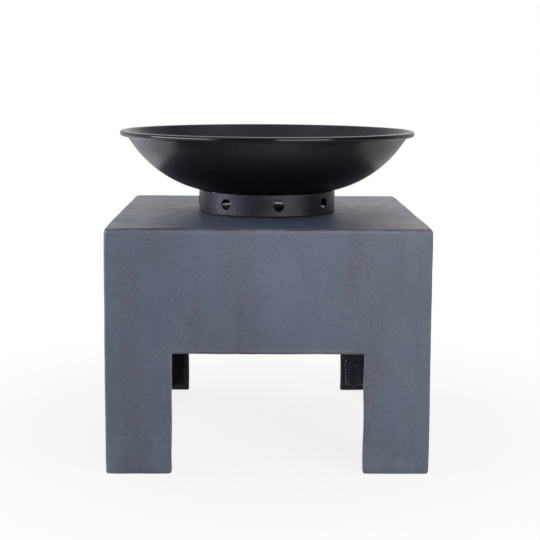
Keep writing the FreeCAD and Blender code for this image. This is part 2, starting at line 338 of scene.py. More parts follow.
def corner_fullness(points):
    """Share of its radius by which each arris is rounded: 1, give or take slow waves, and more at a corner.

    The rise at a corner of the slab or a foot is a bell of the distance from it.
    """
    to_corner = np.abs(points) - (HALF, HALF, HEIGHT)
    to_corner[:, Z] = np.where(points[:, Z] < LINTEL, points[:, Z], to_corner[:, Z])
    at_corner = np.exp(-(to_corner**2).sum(axis=1) / CORNER_REACH**2)
    slow = np.clip(waves(points, ARRIS_WAVE, ARRIS_SEED), -2, 2)
    return 1 + ARRIS_WAVE_SHARE * slow + CORNER_RISE * at_corner


def console_skin():
    """Points and faces of the clay console, and its masks: near a level arris, chipped, and in the hollow.

    The lattice's edges are rounded by a radius that wanders a little and grows at the corners, chips are
    taken out, and slow waves leave the faces as uneven as clay from a mould and the cut edges a little
    crooked.
    """
    points, faces = console_lattice()
    rng = np.random.default_rng(CHIP_SEED)
    fullness = corner_fullness(points)
    outside, inside = console_edges()
    level_edges = [edge for edge in outside if edge.axis == X and edge.radius != FOOT_ARRIS]
    worn_edges = [
        edge._replace(low=edge.low + WEAR_STOPS, high=edge.high - WEAR_STOPS) for edge in level_edges
    ]
    cut_edges = [edge for edge in outside + inside if edge.radius < OUTER_ARRIS]
    moves = np.zeros_like(points)
    near_arris, near_cut, chipped = np.zeros((3, len(points)))
    for quarters in range(4):
        turn = quarter_turn(quarters)
        local = points @ turn
        moves += sum(rounding(local, edge, fullness) for edge in outside + inside) @ turn.T
        share, chip_moves = chips(local, outside, rng)
        moves += chip_moves @ turn.T
        chipped = np.maximum(chipped, share)
        near_arris = np.maximum(near_arris, nearness(local, worn_edges, ARRIS_REACH))
        near_cut = np.maximum(near_cut, nearness(local, cut_edges, CUT_REACH))
    uneven = wander(points, *SWELL) + wander(points, *RIPPLE)
    uneven += wander(points, *CROOKED) * np.where(points[:, 2:] > FOOT_ARRIS, near_cut[:, None], 0)
    corner = np.array((HALF, HALF, HEIGHT))
    skin = np.clip(points + moves + uneven, -corner * (1, 1, 0), corner)
    between_walls = (np.abs(points[:, :2]) < INNER + SLACK).all(axis=1)
    in_hollow = between_walls & (points[:, Z] < UNDER_SLAB + SLACK)
    return skin, faces, {"near_arris": near_arris, "chipped": chipped, "in_hollow": in_hollow}


# Fibre lining


def torn(line, wavelength, seed):
    """How far a border is torn along a line of places, from 0 to 1: a half, give or take slow waves."""
    return np.clip(0.5 + 0.35 * waves(line[:, None], wavelength, seed), 0, 1)


def lump_depth(points, coarse, fine, seed):
    """How far the felt lies behind its face, up to the lump height: coarse waves and weaker fine ones."""
    lumps = 0.5 + 0.3 * waves(points, coarse, seed) + 0.2 * waves(points, fine, seed + 1)
    return LUMP * np.clip(lumps, 0, 1)


def thicken(piece, thickness):
    """Gives a sheet its body, behind its face."""
    shell = piece.modifiers.new("mat_thickness", "SOLIDIFY")
    shell.thickness = thickness
    shell.offset = -1


def mat_sheet(name, path, facing, low, high, tears, seed, material, node):
    """A lumpy mat: points along a path across, and up from a low to a high border, torn by slow waves.

    Each point is set back from the mat's face by a lump's depth, against the path's facing.
    """
    along = np.concatenate([[0], np.cumsum(np.linalg.norm(np.diff(path, axis=0), axis=1))])
    rows = max(FEWEST_ROWS, int((high - low) / MAT_ROW))
    stretch = np.linspace(0, 1, rows)
    start_tear, end_tear, low_tear, high_tear = tears
    up_line = low + stretch * (high - low)
    start = start_tear * torn(up_line, SIDE_WAVES[0], seed)
    end = along[-1] - end_tear * torn(up_line, SIDE_WAVES[1], seed + 1)
    place = start[:, None] + along / along[-1] * (end - start)[:, None]
    bottom = low + low_tear * torn(along, BORDER_WAVE, seed + 2)
    top = high - high_tear * torn(along, BORDER_WAVE, seed + 3)
    heights = bottom + stretch[:, None] * (top - bottom)
    spread = [np.interp(place.ravel(), along, path[:, axis]) for axis in (X, Y)]
    outward = np.stack([np.interp(place.ravel(), along, facing[:, axis]) for axis in (X, Y)], axis=1)
    points = np.stack([*spread, heights.ravel()], axis=1)
    points[:, :2] -= outward * lump_depth(points, *LUMP_WAVES, seed + 4)[:, None]
    from_side = np.minimum(along, along[-1] - along) + np.zeros((rows, 1))
    from_foot = (up_line - low)[:, None] + np.zeros(len(path))
    frayed = np.clip(1 - np.minimum(from_side, FOOT_FRAY * from_foot).ravel() / FRAY, 0, 1)
    faces = grid_faces(rows, len(path)).tolist()
    piece = make_piece(name, points, faces, "console", material, [node], {"frayed": frayed})
    thicken(piece, MAT_BODY)


def corner_path(face, border):
    """A mat's line through a corner, and its facing: along one wall, round the fold and along the next wall.

    The fold is a quarter round of the fold radius.
    """
    run = np.linspace(border, face - FOLD, WALL_POINTS)
    swing = np.linspace(0, math.pi / 2, FOLD_POINTS)[1:-1]
    round_fold = np.stack([np.sin(swing), np.cos(swing)], axis=1)
    first = np.stack([run, np.full_like(run, face)], axis=1)
    second = np.stack([np.full_like(run, face), run[::-1]], axis=1)
    facing = np.concatenate([
        np.tile((0.0, -1.0), (len(run), 1)), -round_fold, np.tile((-1.0, 0.0), (len(run), 1)),
    ])
    return np.concatenate([first, face - FOLD + FOLD * round_fold, second]), facing


def make_wall_mats(material):
    """Eight mats: one folded into each corner and one behind each apron, as quarter turns of two."""
    low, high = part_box("lining_corner_mat_rear_right")
    path, facing = corner_path(high.x - MAT, low.x)
    for quarters, place in enumerate(MATS_AT_CORNERS):
        turn = quarter_turn(quarters)[:2, :2].T
        mat_sheet(
            f"corner_mat_{place}", path @ turn, facing @ turn, low.z, high.z, CORNER_TEARS,
            CORNER_MAT_SEED + SEED_STEP * quarters, material, f"lining_corner_mat_{place}",
        )
    low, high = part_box("lining_apron_mat_rear")
    run = np.linspace(low.x, high.x, APRON_POINTS)
    path = np.stack([run, np.full_like(run, low.y)], axis=1)
    facing = np.tile((0.0, -1.0), (len(run), 1))
    for quarters, place in enumerate(MATS_AT_APRONS):
        turn = quarter_turn(quarters)[:2, :2].T
        mat_sheet(
            f"apron_mat_{place}", path @ turn, facing @ turn, low.z, high.z, APRON_TEARS,
            APRON_MAT_SEED + SEED_STEP * quarters, material, f"lining_apron_mat_{place}",
        )


def make_top_mat(material):
    """The mat under the slab: a level grid, raised by the depth of its lumps."""
    low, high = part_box("lining_top_mat")
    run = np.linspace(low.x + TOP_MAT_ROOM, high.x - TOP_MAT_ROOM, TOP_POINTS)
    y, x = np.meshgrid(run, run, indexing="ij")
    points = np.stack([x.ravel(), y.ravel(), np.full(x.size, low.z)], axis=1)
    points[:, Z] += lump_depth(points[:, :2], *TOP_LUMP_WAVES, TOP_MAT_SEED)
    faces = grid_faces(TOP_POINTS, TOP_POINTS).tolist()
    piece = make_piece("top_mat", points, faces, "console", material, ["lining_top_mat"])
    thicken(piece, TOP_MAT_BODY)


# Fire bowl


def arc_points(centre, radius, start, end, count):
    """Points of a circular arc at even angles."""
    angle = np.linspace(start, end, count)
    return np.stack([centre[0] + radius * np.cos(angle), centre[1] + radius * np.sin(angle)], axis=1)


def bowl_section():
    """Section of the pressed dish as radius and height, from the axis along its underside and back inside.

    A flat floor, an arc up the side, and a wall that is the common tangent of that arc and the rolled bead.
    """
    curl = BEAD - SHEET
    centre = (BOWL_FLOOR_RADIUS, BOWL_LOW + BOWL_SIDE_RADIUS)
    across, up = BEAD_AT[0] - centre[0], BEAD_AT[1] - centre[1]
    slope = math.atan2(up, across) + math.asin((BOWL_SIDE_RADIUS + curl) / math.hypot(across, up))
    bottom, arc_end, curl_end = -math.pi / 2, slope - math.pi / 2, slope + math.pi / 2
    floor = np.linspace(0, BOWL_FLOOR_RADIUS, FLOOR_POINTS)[:-1]
    return np.concatenate([
        np.stack([floor, np.full_like(floor, BOWL_LOW)], axis=1),
        arc_points(centre, BOWL_SIDE_RADIUS, bottom, arc_end, SIDE_POINTS),
        arc_points(BEAD_AT, curl, curl_end, bottom, CURL_POINTS),
        arc_points(BEAD_AT, BEAD, bottom, curl_end, BEAD_POINTS),
        arc_points(centre, BOWL_SIDE_RADIUS - SHEET, arc_end, bottom, SIDE_POINTS),
        np.stack([floor[::-1], np.full_like(floor, BOWL_LOW + SHEET)], axis=1),
    ])


def turned_piece(section, steps):
    """A section turned about the upright axis, its two ends on the axis closed by one point and a fan each.

    Point j of row i is at radius r_i, angle 2 pi j / steps and height z_i.
    """
    radius, height = section[1:-1].T
    angle = np.arange(steps) * 2 * math.pi / steps
    around = np.stack([
        radius[:, None] * np.cos(angle),
        radius[:, None] * np.sin(angle),
        np.tile(height[:, None], (1, steps)),
    ], axis=-1).reshape(-1, 3)
    rows = len(radius)
    index = np.arange(rows * steps).reshape(rows, steps)
    beside = np.roll(index, -1, axis=1)
    quads = np.stack([index[:-1], beside[:-1], beside[1:], index[1:]], axis=-1).reshape(-1, 4)
    first, last = rows * steps, rows * steps + 1
    under_fan = np.stack([np.full(steps, first), beside[0], index[0]], axis=1)
    inside_fan = np.stack([np.full(steps, last), index[-1], beside[-1]], axis=1)
    ends = np.array([(0, 0, section[0, 1]), (0, 0, section[-1, 1])])
    return np.concatenate([around, ends]), quads.tolist() + under_fan.tolist() + inside_fan.tolist()


def bowl_finish_masks(points):
    """Masks of the bowl: its glossy rim, and the outside's upper part, where a painted reflection makes it a
    lighter grey.

    The rim's is 1 within one bead radius of the bead's centre line and 0 past two, and fades out at the rim's
    left and right ends. The outside is the first half of the points.
    """
    from_bead = np.hypot(np.hypot(*points[:, :2].T) - BEAD_AT[0], points[:, Z] - BEAD_AT[1])
    at_ends = np.clip((np.abs(points[:, X]) - ENDS_FROM) / ENDS_OVER, 0, 1)
    on_rim = np.clip((2 * BEAD - from_bead) / BEAD, 0, 1) * (1 - at_ends)
    # Painted reflection: the outside turns a lighter grey going up
    upper = np.clip((points[:, Z] - BOWL_LOW - REFLECTION_FROM) / REFLECTION_OVER, 0, 1)
    outside = np.arange(len(points)) < len(points) / 2
    return {"on_rim": on_rim, "painted_reflection": upper * outside}


# Shader helpers

MIX_FACTOR, MIX_FIRST, MIX_SECOND, MIX_RESULT = 0, 6, 7, 2
VECTOR, FLOAT = "NodeSocketVector", "NodeSocketFloat"


def add(tree, kind, inputs=None, **settings):
    """A node with its settings, each input given as a value or as a socket to link."""
    node = tree.nodes.new(kind)
    for key, value in settings.items():
        setattr(node, key, value)
    for key, value in (inputs or {}).items():
        if isinstance(value, bpy.types.NodeSocket):
            tree.links.new(value, node.inputs[key])
        else:
            node.inputs[key].default_value = value
    return node


def calc(tree, operation, *values):
    """The result of a sum or other operation on values."""
    return add(tree, "ShaderNodeMath", dict(enumerate(values)), operation=operation).outputs[0]


def times(tree, first, *others):
    """The product of two or more values."""
    for other in others:
        first = calc(tree, "MULTIPLY", first, other)
    return first


def raised(tree, value, mask, amount):
    """A value raised by a mask times an amount."""
    return calc(tree, "MULTIPLY_ADD", mask, amount, value)


def remap(tree, value, low, high, out_low=0.0, out_high=1.0):
    """A smooth step of a value from one range to another."""
    places = {"Value": value, "From Min": low, "From Max": high, "To Min": out_low, "To Max": out_high}
    return add(tree, "ShaderNodeMapRange", places, interpolation_type="SMOOTHSTEP").outputs[0]


def window(tree, value, low, high, soft):
    """1 between two limits and 0 outside, with smooth steps of a given width outside them."""
    return times(tree, remap(tree, value, low - soft, low), remap(tree, value, high + soft, high))


def blend(tree, factor, first, second, blend_type="MIX"):
    """A mix of two colours."""
    inputs = {MIX_FACTOR: factor, MIX_FIRST: first, MIX_SECOND: second}
    return add(tree, "ShaderNodeMix", inputs, data_type="RGBA", blend_type=blend_type).outputs[MIX_RESULT]


def tint(tree, color, mask, share, tone):
    """A colour mixed toward a tone by a mask times a share."""
    return blend(tree, times(tree, mask, share), color, tone)


def shade(tree, color, value, low, high, darkest, lightest):
    """A colour times a factor that goes from darkest to lightest as a value goes from low to high."""
    return blend(tree, 1.0, color, remap(tree, value, low, high, darkest, lightest), "MULTIPLY")


def axes(tree, vector):
    """The three coordinates of a vector, by their letters."""
    return add(tree, "ShaderNodeSeparateXYZ", {0: vector}).outputs


def length(tree, vector):
    """The length of a vector: the root of the sum of its squares."""
    return add(tree, "ShaderNodeVectorMath", {0: vector}, operation="LENGTH").outputs["Value"]


def stretched(tree, vector, scale):
    """Coordinates times a scale on each axis, so that a pattern is drawn out where the scale is small."""
    return add(tree, "ShaderNodeMapping", {"Vector": vector, "Scale": scale}).outputs[0]


def mask_of(tree, name):
    """A mask that the mesh carries at its points."""
    return add(tree, "ShaderNodeAttribute", attribute_name=name).outputs["Fac"]


def noise(tree, vector, scale, detail, roughness):
    """Fractal noise of about 0 to 1 with a number of octaves and their falloff."""
    inputs = {"Vector": vector, "Scale": scale, "Detail": detail, "Roughness": roughness}
    return add(tree, "ShaderNodeTexNoise", inputs).outputs["Fac"]


def new_group(name, inputs, outputs):
    """An empty shader group with named sockets, given with the sockets inside it."""
    tree = bpy.data.node_groups.new(name, "ShaderNodeTree")
    for socket, kind in inputs:
        tree.interface.new_socket(socket, in_out="INPUT", socket_type=kind)
    for socket, kind in outputs:
        tree.interface.new_socket(socket, in_out="OUTPUT", socket_type=kind)
    return tree, tree.nodes.new("NodeGroupInput").outputs, tree.nodes.new("NodeGroupOutput").inputs


def cloud_group():
    """Soft patches: noise of a few octaves whose middle is spread over 0 to 1."""
    tree, given, out = new_group("soft_clouds", [("Vector", VECTOR), ("Scale", FLOAT)], [("Cloud", FLOAT)])
    patches = noise(tree, given["Vector"], given["Scale"], 3.0, 0.55)
    tree.links.new(remap(tree, patches, 0.3, 0.7), out["Cloud"])
    return tree


def grain_group():
    """Fine grain: one height for bumps and one value for colour and gloss."""
    sockets = [("Vector", VECTOR), ("Scale", FLOAT)]
    tree, given, out = new_group("fine_grain", sockets, [("Height", FLOAT), ("Value", FLOAT)])
    fine = noise(tree, given["Vector"], given["Scale"], 3.0, 0.65)
    coarse = noise(tree, given["Vector"], times(tree, given["Scale"], 0.23), 1.0, 0.5)
    tree.links.new(raised(tree, coarse, fine, 0.7), out["Height"])
    tree.links.new(remap(tree, fine, 0.3, 0.7), out["Value"])
    return tree


def speck_group():
    """Scattered specks: round dots at the points of a cell pattern, kept for a share of the cells."""
    sockets = [("Vector", VECTOR), ("Scale", FLOAT), ("Share", FLOAT), ("Size", FLOAT)]
    tree, given, out = new_group("scattered_specks", sockets, [("Mask", FLOAT)])
    cells = add(tree, "ShaderNodeTexVoronoi", {"Vector": given["Vector"], "Scale": given["Scale"]})
    chance = add(tree, "ShaderNodeSeparateColor", {0: cells.outputs["Color"]}).outputs
    kept = calc(tree, "LESS_THAN", chance[0], given["Share"])
    radius = times(tree, given["Size"], chance[1])
    dot = calc(tree, "SUBTRACT", 1.0, calc(tree, "DIVIDE", cells.outputs["Distance"], radius))
    tree.links.new(times(tree, kept, remap(tree, dot, 0.0, 0.6)), out["Mask"])
    return tree


CLOUDS, GRAIN, SPECKS = cloud_group(), grain_group(), speck_group()


def clouds(tree, at, scale, stretch=None):
    """Soft patches at a scale, drawn out along an axis if a stretch is given."""
    vector = stretched(tree, at, stretch) if stretch else at
    return add(tree, "ShaderNodeGroup", {"Vector": vector, "Scale": scale}, node_tree=CLOUDS).outputs["Cloud"]


def grain(tree, at, scale, stretch=None):
    """Fine grain at a scale, as its Height and its Value."""
    vector = stretched(tree, at, stretch) if stretch else at
    return add(tree, "ShaderNodeGroup", {"Vector": vector, "Scale": scale}, node_tree=GRAIN).outputs


def specks(tree, at, scale, share, size):
    """Specks at a scale, for a share of its cells and up to a size in cells."""
    inputs = {"Vector": at, "Scale": scale, "Share": share, "Size": size}
    return add(tree, "ShaderNodeGroup", inputs, node_tree=SPECKS).outputs["Mask"]


def new_material(name):
    """An empty material with its Principled shader wired to the output, and the piece's own coordinates."""
    material = bpy.data.materials.new(name)
    material.use_nodes = True
    tree = material.node_tree
    tree.nodes.clear()
    shader = add(tree, "ShaderNodeBsdfPrincipled")
    add(tree, "ShaderNodeOutputMaterial", {"Surface": shader.outputs[0]})
    coordinates = add(tree, "ShaderNodeTexCoord").outputs["Object"]
    return material, tree, shader, coordinates


def wire_up(tree, shader, color, roughness, height, strength, distance):
    """Links colour, roughness and a bump from a height to the shader."""
    bump = add(tree, "ShaderNodeBump", {"Height": height, "Strength": strength, "Distance": distance})
    for socket, value in (("Base Color", color), ("Roughness", roughness), ("Normal", bump.outputs[0])):
        tree.links.new(value, shader.inputs[socket])


# Finish of the clay: its colours, and bands in metres

WASH, WASH_LIGHT = (0.091, 0.108, 0.143, 1), (0.106, 0.130, 0.172, 1)
WASH_WARM, WASH_PALE = (0.098, 0.088, 0.103, 1), (0.128, 0.152, 0.192, 1)
DRAG_MARK = (0.060, 0.054, 0.064, 1)
FOOT_RUB, BRUSH_STROKE = (0.16, 0.184, 0.224, 1), (0.16, 0.186, 0.226, 1)
# Painted shade: a factor that darkens and cools the wash on the slab's top
TOP_PAINTED_SHADE = (0.49, 0.55, 0.635, 1)
PALE_SPECK, DARK_SPECK = (0.24, 0.26, 0.29, 1), (0.045, 0.047, 0.056, 1)
ARRIS_PAINTED_HIGHLIGHT, ARRIS_SMEAR, ARRIS_RED = (0.22, 0.24, 0.27, 1), (0.125, 0.085, 0.095, 1), (0.052, 0.020, 0.027, 1)
CHIP_RED = (0.112, 0.066, 0.062, 1)
HOLLOW_BLACK, HOLLOW_PAINTED_LIGHT = (0.002, 0.0023, 0.003, 1), (0.022, 0.026, 0.036, 1)
TOP_DUST_AND_SHEEN = (0.107, 0.103, 0.121, 1)

TOP_BAND = (HEIGHT - 0.0015, HEIGHT - 0.0003)
FOOT_BAND = (0.085, 0.02)
BRUSHED_BAND = (0.17, 0.27)
# Heights over which the painted shade toward the foot fades out going up
PAINTED_SHADE_BAND = (0.10, 0.27)
LESS_RED_TO_RIGHT = (0.02, 0.12)
DUST_AND_SHEEN_TO_RIGHT, DUST_AND_SHEEN_TO_FRONT = (0.06, 0.16), (-0.05, -0.15)
PAINTED_LIGHT_TO_RIGHT = (-0.12, 0.16)


def clay_patterns(tree, at):
    """Patterns of the clay by name: soft patches, marks down the faces, strokes, grain and specks."""
    return SimpleNamespace(
        wide=clouds(tree, at, 7.0),
        patches=clouds(tree, at, 26.0, (1.0, 1.0, 0.6)),
        columns=clouds(tree, at, 42.0, (1.0, 1.0, 0.12)),
        drags=clouds(tree, at, 400.0, (1.0, 1.0, 0.05)),
        dashes=clouds(tree, at, 560.0, (1.0, 1.0, 0.3)),
        strokes=grain(tree, at, 340.0, (0.16, 0.16, 1.0)),
        grain=grain(tree, at, 800.0),
        mottle=grain(tree, at, 210.0)["Value"],
        pale=specks(tree, at, 330.0, 0.4, 0.27),
        dark=specks(tree, at, 360.0, 0.35, 0.34),
    )


def clay_wash(tree, pattern, up, on_top):
    """Colour of the wash: warm columns with drag marks, pale patches, rubbed feet and strokes, with painted
    shade on the top and toward the foot.
    """
    color = blend(tree, pattern.wide, WASH, WASH_LIGHT)
    columns = remap(tree, pattern.columns, 0.35, 1.0)
    dragged = raised(tree, 0.5, pattern.drags, 0.5)
    warmth = times(tree, columns, dragged, remap(tree, pattern.patches, 0.9, 0.2, 0.3, 1.0))
    color = tint(tree, color, warmth, 0.32, WASH_WARM)
    marks = times(tree, remap(tree, pattern.dashes, 0.62, 0.95), remap(tree, warmth, 0.0, 0.7, 0.12, 0.5))
    color = blend(tree, marks, color, DRAG_MARK)
    color = blend(tree, remap(tree, pattern.patches, 0.45, 1.0, 0.0, 0.3), color, WASH_PALE)
    foot = times(tree, remap(tree, up, *FOOT_BAND), remap(tree, pattern.patches, 0.25, 0.75))
    color = tint(tree, color, times(tree, foot, raised(tree, 0.4, pattern.drags, 0.6)), 0.5, FOOT_RUB)
    brushed = times(tree, pattern.strokes["Value"], remap(tree, up, *BRUSHED_BAND, 0.05, 0.2))
    color = blend(tree, brushed, color, BRUSH_STROKE)
    # Painted shade: the slab's top made darker and bluer
    color = blend(tree, on_top, color, TOP_PAINTED_SHADE, "MULTIPLY")
    # Painted shade: the wash darker toward the foot, as light falls from above
    color = shade(tree, color, up, *PAINTED_SHADE_BAND, 0.89, 0.98)
    color = shade(tree, color, pattern.mottle, 0.0, 1.0, 0.945, 1.055)
    color = shade(tree, color, pattern.grain["Value"], 0.0, 1.0, 0.84, 1.16)
    color = tint(tree, color, pattern.pale, 0.5, PALE_SPECK)
    return tint(tree, color, pattern.dark, 0.4, DARK_SPECK)


def clay_wear(tree, color, pattern, place, near_arris):
    """Colour with worn arrises, and the mask of the rubbed line on them.

    A painted highlight makes the wash paler beside that line; it is smeared with red around it, and gone to
    the red clay on it.
    """
    # Painted highlight: a pale band beside the rubbed line, where the rounded arris faces the light
    beside = times(tree, remap(tree, near_arris, 0.45, 0.62), remap(tree, near_arris, 0.82, 0.68))
    color = tint(tree, color, beside, 0.16, ARRIS_PAINTED_HIGHLIGHT)
    smeared = times(tree, remap(tree, near_arris, 0.5, 0.8), remap(tree, pattern.columns, 0.45, 0.85))
    color = tint(tree, color, smeared, 0.4, ARRIS_SMEAR)
    worn = remap(tree, pattern.patches, 0.75, 0.2, 0.45, 1.0)
    worn = times(tree, worn, remap(tree, place["X"], *LESS_RED_TO_RIGHT, 1.0, 0.55))
    rubbed = times(tree, remap(tree, near_arris, 0.76, 0.9), worn)
    return tint(tree, color, rubbed, 0.92, ARRIS_RED), rubbed


def clay_hollow_and_top(tree, color, pattern, place, on_top, in_hollow):
    """Colour near black in the hollow, with painted light making it lighter toward the right, and pale dust
    with painted sheen at the slab's front right.
    """
    # Near black in the hollow, with painted light making it lighter toward the right
    hollow_color = blend(tree, remap(tree, place["X"], *PAINTED_LIGHT_TO_RIGHT), HOLLOW_BLACK, HOLLOW_PAINTED_LIGHT)
    color = blend(tree, in_hollow, color, hollow_color)
    # Pale dust and painted sheen toward the slab's front right
    dust_and_sheen = times(tree, remap(tree, place["X"], *DUST_AND_SHEEN_TO_RIGHT), remap(tree, place["Y"], *DUST_AND_SHEEN_TO_FRONT))
    dust_and_sheen = times(tree, dust_and_sheen, on_top, remap(tree, pattern.patches, 0.0, 0.6, 0.5, 0.9))
    return blend(tree, dust_and_sheen, color, TOP_DUST_AND_SHEEN)


def painted_clay():
    """Blue-grey wash over red-brown clay, with rubbed arrises, chips, dust and a near-black hollow, and
    painted shade, highlights, light and sheen.
    """
    material, tree, shader, at = new_material("painted_clay")
    place = axes(tree, at)
    pattern = clay_patterns(tree, at)
    in_hollow = mask_of(tree, "in_hollow")
    on_top = remap(tree, place["Z"], *TOP_BAND)
    color = clay_wash(tree, pattern, place["Z"], on_top)
    color, rubbed = clay_wear(tree, color, pattern, place, mask_of(tree, "near_arris"))
    color = tint(tree, color, mask_of(tree, "chipped"), 0.55, CHIP_RED)
    color = clay_hollow_and_top(tree, color, pattern, place, on_top, in_hollow)

    gloss = calc(tree, "ADD", pattern.wide, pattern.strokes["Value"])
    roughness = remap(tree, gloss, 0.4, 1.6, 0.38, 0.48)
    for mask, amount in ((on_top, 0.08), (rubbed, 0.25), (in_hollow, 0.5)):
        roughness = raised(tree, roughness, mask, amount)
    height = raised(tree, pattern.grain["Height"], pattern.strokes["Height"], 0.5)
    shader.inputs["Specular IOR Level"].default_value = 0.5
    wire_up(tree, shader, color, roughness, height, strength=0.25, distance=0.0004)
    return material


# Finishes of the lining, ring, bowl and wire: their colours, and bands in metres

FELT_DEEP, FELT, STRAND = (0.0015, 0.0017, 0.0024, 1), (0.004, 0.0045, 0.006, 1), (0.007, 0.0075, 0.009, 1)
FELT_PAINTED_LIGHT, FOOT_DUST = (0.036, 0.043, 0.058, 1), (0.060, 0.055, 0.050, 1)
PALE_HAIR, FELT_SPECK = (0.36, 0.35, 0.34, 1), (0.16, 0.16, 0.16, 1)
DUST_LOW = (0.030, 0.010)

COAT_DEEP, COAT, COAT_PIMPLE = (0.007, 0.0075, 0.011, 1), (0.010, 0.0105, 0.015, 1), (0.025, 0.026, 0.034, 1)
COAT_DUST, COAT_PAINTED_SHADE, COAT_GLINT = (0.12, 0.12, 0.14, 1), (0.003, 0.003, 0.004, 1), (0.80, 0.83, 1.0, 1)
SHADED_LOW_EDGE, SHADED_INSIDE_BAND = (HEIGHT + 0.0026, HEIGHT + 0.0020), (0.0925, 0.0917)

ENAMEL_DEEP, ENAMEL = (0.0018, 0.0021, 0.0030, 1), (0.0028, 0.0032, 0.0044, 1)
ENAMEL_PEEL, ENAMEL_PAINTED_REFLECTION = (0.006, 0.0065, 0.0085, 1), (0.0155, 0.016, 0.0185, 1)
ENAMEL_DUST, ENAMEL_GLINT = (0.1, 0.1, 0.105, 1), (0.88, 0.90, 1.0, 1)

WIRE_BRIGHT, WIRE_SCALE = (0.40, 0.40, 0.42, 1), (0.18, 0.18, 0.19, 1)


def fibre_lining():
    """Black felted fibre: matted strands, pale hairs along frayed borders, a few elsewhere, and dust, with
    painted light making it lighter toward the right.
    """
    material, tree, shader, at = new_material("fibre_lining")
    strands = grain(tree, at, 520.0, (1.0, 1.0, 0.3))
    matted = clouds(tree, at, 90.0)
    hairs = clouds(tree, at, 560.0)
    bits = specks(tree, at, 190.0, 0.2, 0.26)
    place = axes(tree, at)
    # Painted light: the felt, with its dust, hairs and specks, grows lighter toward the right
    painted_light = remap(tree, place["X"], *PAINTED_LIGHT_TO_RIGHT)
    color = blend(tree, matted, FELT_DEEP, FELT)
    color = tint(tree, color, strands["Value"], 0.4, STRAND)
    color = tint(tree, color, painted_light, 0.7, FELT_PAINTED_LIGHT)
    settled = times(tree, remap(tree, place["Z"], *DUST_LOW), remap(tree, matted, 0.1, 0.7), painted_light)
    color = tint(tree, color, settled, 0.55, FOOT_DUST)
    fringe = remap(tree, mask_of(tree, "frayed"), 0.6, 0.85, 0.05, 1.0)
    stray = times(tree, remap(tree, hairs, 0.25, 0.75), fringe)
    stray = times(tree, stray, remap(tree, painted_light, 0.0, 1.0, 0.05, 1.0))
    stray = times(tree, stray, remap(tree, matted, 0.15, 0.6, 0.2, 1.0))
    color = blend(tree, stray, color, PALE_HAIR)
    color = tint(tree, color, bits, remap(tree, painted_light, 0.0, 1.0, 0.15, 0.7), FELT_SPECK)
    roughness = remap(tree, strands["Value"], 0.0, 1.0, 0.7, 0.95)
    height = calc(tree, "ADD", strands["Height"], matted)
    shader.inputs["Specular IOR Level"].default_value = 0.1
    wire_up(tree, shader, color, roughness, height, strength=0.8, distance=0.0012)
    return material


def ring_coating():
    """Dark blue-grey textured coating on rolled strip: rolling lines, close pimples, clouds and dust.

    Painted shade makes it black inside the ring and along the ring's lower edge.
    """
    material, tree, shader, at = new_material("ring_coating")
    pimples = grain(tree, at, 900.0)
    rolled = grain(tree, at, 5000.0, (0.01, 0.01, 1.0))
    color = blend(tree, clouds(tree, at, 60.0), COAT_DEEP, COAT)
    color = tint(tree, color, pimples["Value"], 0.35, COAT_PIMPLE)
    color = tint(tree, color, specks(tree, at, 420.0, 0.3, 0.3), 0.3, COAT_DUST)
    # Painted shade: black along the lower edge and inside the ring
    shaded_low_edge = remap(tree, axes(tree, at)["Z"], *SHADED_LOW_EDGE)
    color = blend(tree, shaded_low_edge, color, COAT_PAINTED_SHADE)
    from_axis = length(tree, stretched(tree, at, (1.0, 1.0, 0.0)))
    inside = remap(tree, from_axis, *SHADED_INSIDE_BAND)
    color = tint(tree, color, inside, 0.85, COAT_PAINTED_SHADE)
    roughness = remap(tree, pimples["Value"], 0.0, 1.0, 0.24, 0.32)
    roughness = raised(tree, roughness, calc(tree, "MAXIMUM", inside, shaded_low_edge), 0.3)
    height = raised(tree, pimples["Height"], rolled["Value"], 0.5)
    shader.inputs["Specular IOR Level"].default_value = 0.33
    shader.inputs["Specular Tint"].default_value = COAT_GLINT
    wire_up(tree, shader, color, roughness, height, strength=0.6, distance=0.0002)
    return material


def bowl_enamel():
    """Satin black stove paint on a pressed bowl: faint clouds, orange peel and specks of dust.

    A painted reflection makes the upper part of the outside a lighter grey, and the rim is glossier at the
    front and the rear.
    """
    material, tree, shader, at = new_material("bowl_enamel")
    peel = grain(tree, at, 700.0)
    cloud = clouds(tree, at, 16.0)
    color = blend(tree, cloud, ENAMEL_DEEP, ENAMEL)
    color = tint(tree, color, peel["Value"], 0.2, ENAMEL_PEEL)
    # Painted reflection: the upper outside a lighter grey
    color = blend(tree, mask_of(tree, "painted_reflection"), color, ENAMEL_PAINTED_REFLECTION)
    color = tint(tree, color, specks(tree, at, 120.0, 0.1, 0.14), 0.35, ENAMEL_DUST)
    satin = remap(tree, calc(tree, "ADD", cloud, peel["Value"]), 0.2, 1.8, 0.30, 0.38)
    roughness = raised(tree, satin, mask_of(tree, "on_rim"), -0.20)
    shader.inputs["Specular IOR Level"].default_value = 0.4
    shader.inputs["Specular Tint"].default_value = ENAMEL_GLINT
    wire_up(tree, shader, color, roughness, peel["Height"], strength=0.2, distance=0.0002)
    return material


def rim_wire_steel():
    """Bright drawn wire with a thin grey scale."""
    material, tree, shader, at = new_material("rim_wire_steel")
    drawn = grain(tree, at, 900.0)
    color = blend(tree, clouds(tree, at, 150.0), WIRE_BRIGHT, WIRE_SCALE)
    shader.inputs["Metallic"].default_value = 1.0
    roughness = remap(tree, drawn["Value"], 0.0, 1.0, 0.35, 0.5)
    wire_up(tree, shader, color, roughness, drawn["Height"], strength=0.2, distance=0.0002)
    return material


# The object

clay, lining, coating, enamel, steel = (
    painted_clay(), fibre_lining(), ring_coating(), bowl_enamel(), rim_wire_steel()
)

